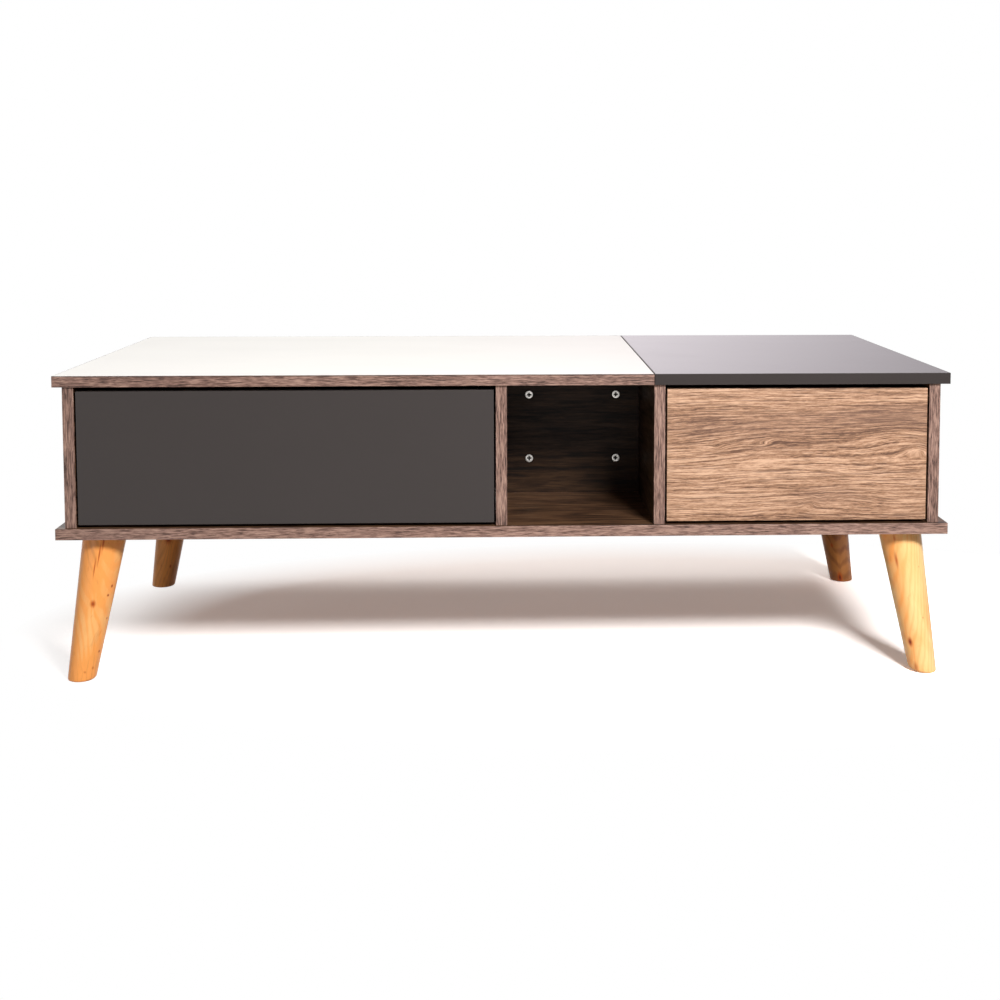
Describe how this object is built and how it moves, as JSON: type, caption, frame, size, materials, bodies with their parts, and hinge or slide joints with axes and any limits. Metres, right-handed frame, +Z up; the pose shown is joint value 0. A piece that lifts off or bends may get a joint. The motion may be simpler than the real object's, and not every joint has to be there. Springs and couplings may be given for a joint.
{
  "type": "coffee table",
  "caption": "Low rectangular coffee table with a two-tone top, two drawers beside an open niche, and splayed round legs.",
  "frame": {"origin": "on the floor under the middle of the top", "axes": "+Z up, front with the drawers towards -Y, +X to the right seen from the front"},
  "size_m": [1.2, 0.6, 0.42],
  "materials": {
    "white_laminate": "smooth satin laminate on particle board",
    "anthracite_laminate": "smooth satin laminate on particle board",
    "brown_foil": "matt wood-look foil on particle board",
    "oak_foil": "matt wood-look foil on particle board",
    "pine": "clear satin lacquer on knotty softwood",
    "hardboard": "thin fibre board with a wood-look face",
    "beech": "ribbed raw dowel",
    "zinc": "bright zinc",
    "steel": "zinc-plated steel",
    "rail_white": "white powder coat",
    "nylon": "moulded nylon"
  },
  "bodies": {
    "carcass": {"top_panel_white": "white_laminate", "top_panel_grey": "anthracite_laminate", "top_panel_grey_edge_bands": "anthracite_laminate", "top_panel_white_edge_bands": "brown_foil", "carcass_edge_bands": "brown_foil", "bottom_panel": "brown_foil", "side_panel_left": "brown_foil", "side_panel_right": "brown_foil", "divider_left": "brown_foil", "divider_right": "brown_foil", "niche_partition": "brown_foil", "back_panel_left": "brown_foil", "back_panel_right": "brown_foil", "left_bay_rail_left": "rail_white", "left_bay_rail_right": "rail_white", "right_bay_rail_left": "rail_white", "right_bay_rail_right": "rail_white", "leg_front_left": "pine", "leg_front_right": "pine", "leg_back_left": "pine", "leg_back_right": "pine", "carcass_cam_locks": "zinc", "leg_inserts": "zinc", "carcass_cam_bolts": "steel", "carcass_screws": "steel", "bay_rail_screws": "steel", "leg_bolts": "steel", "carcass_dowels": "beech"},
    "left_drawer": {"left_drawer_front": "anthracite_laminate", "left_drawer_side_left": "brown_foil", "left_drawer_side_right": "brown_foil", "left_drawer_back": "brown_foil", "left_drawer_bottom": "hardboard", "left_drawer_cam_locks": "zinc", "left_drawer_cam_bolts": "steel", "left_drawer_back_screws": "steel", "left_drawer_rail_screws": "steel", "left_drawer_rail_left": "rail_white", "left_drawer_rail_right": "rail_white"},
    "right_drawer": {"right_drawer_front": "oak_foil", "right_drawer_side_left": "brown_foil", "right_drawer_side_right": "brown_foil", "right_drawer_back": "brown_foil", "right_drawer_bottom": "hardboard", "right_drawer_cam_locks": "zinc", "right_drawer_cam_bolts": "steel", "right_drawer_back_screws": "steel", "right_drawer_rail_screws": "steel", "right_drawer_rail_left": "rail_white", "right_drawer_rail_right": "rail_white"},
    "left_bay_roller_left": {"left_bay_roller_left": "nylon"},
    "left_drawer_roller_left": {"left_drawer_roller_left": "nylon"},
    "left_bay_roller_right": {"left_bay_roller_right": "nylon"},
    "left_drawer_roller_right": {"left_drawer_roller_right": "nylon"},
    "right_bay_roller_left": {"right_bay_roller_left": "nylon"},
    "right_drawer_roller_left": {"right_drawer_roller_left": "nylon"},
    "right_bay_roller_right": {"right_bay_roller_right": "nylon"},
    "right_drawer_roller_right": {"right_drawer_roller_right": "nylon"}
  },
  "joints": [
    {"name": "left_drawer_slide", "type": "slide", "parent": "carcass", "child": "left_drawer", "axis": [0, -1, 0], "range_m": [0, 0.33]},
    {"name": "right_drawer_slide", "type": "slide", "parent": "carcass", "child": "right_drawer", "axis": [0, -1, 0], "range_m": [0, 0.33]},
    {"name": "left_bay_roller_left_spin", "type": "hinge", "parent": "carcass", "child": "left_bay_roller_left", "pos_m": [-0.5676, -0.261, 0.2513], "axis": [1, 0, 0], "range_deg": [0, 1721]},
    {"name": "left_drawer_roller_left_spin", "type": "hinge", "parent": "left_drawer", "child": "left_drawer_roller_left", "pos_m": [-0.5662, 0.146, 0.247], "axis": [1, 0, 0], "range_deg": [0, 1403]},
    {"name": "left_bay_roller_right_spin", "type": "hinge", "parent": "carcass", "child": "left_bay_roller_right", "pos_m": [-0.0184, -0.261, 0.2513], "axis": [1, 0, 0], "range_deg": [0, 1721]},
    {"name": "left_drawer_roller_right_spin", "type": "hinge", "parent": "left_drawer", "child": "left_drawer_roller_right", "pos_m": [-0.0198, 0.146, 0.247], "axis": [1, 0, 0], "range_deg": [0, 1403]},
    {"name": "right_bay_roller_left_spin", "type": "hinge", "parent": "carcass", "child": "right_bay_roller_left", "pos_m": [0.2204, -0.261, 0.2513], "axis": [1, 0, 0], "range_deg": [0, 1721]},
    {"name": "right_drawer_roller_left_spin", "type": "hinge", "parent": "right_drawer", "child": "right_drawer_roller_left", "pos_m": [0.2218, 0.146, 0.247], "axis": [1, 0, 0], "range_deg": [0, 1403]},
    {"name": "right_bay_roller_right_spin", "type": "hinge", "parent": "carcass", "child": "right_bay_roller_right", "pos_m": [0.5676, -0.261, 0.2513], "axis": [1, 0, 0], "range_deg": [0, 1721]},
    {"name": "right_drawer_roller_right_spin", "type": "hinge", "parent": "right_drawer", "child": "right_drawer_roller_right", "pos_m": [0.5662, 0.146, 0.247], "axis": [1, 0, 0], "range_deg": [0, 1403]}
  ],
  "couplings": [
    {"joint": "left_bay_roller_left_spin", "follows": "left_drawer_slide", "rad_per_m": 90.909},
    {"joint": "left_drawer_roller_left_spin", "follows": "left_drawer_slide", "rad_per_m": 74.074},
    {"joint": "left_bay_roller_right_spin", "follows": "left_drawer_slide", "rad_per_m": 90.909},
    {"joint": "left_drawer_roller_right_spin", "follows": "left_drawer_slide", "rad_per_m": 74.074},
    {"joint": "right_bay_roller_left_spin", "follows": "right_drawer_slide", "rad_per_m": 90.909},
    {"joint": "right_drawer_roller_left_spin", "follows": "right_drawer_slide", "rad_per_m": 74.074},
    {"joint": "right_bay_roller_right_spin", "follows": "right_drawer_slide", "rad_per_m": 90.909},
    {"joint": "right_drawer_roller_right_spin", "follows": "right_drawer_slide", "rad_per_m": 74.074}
  ]
}
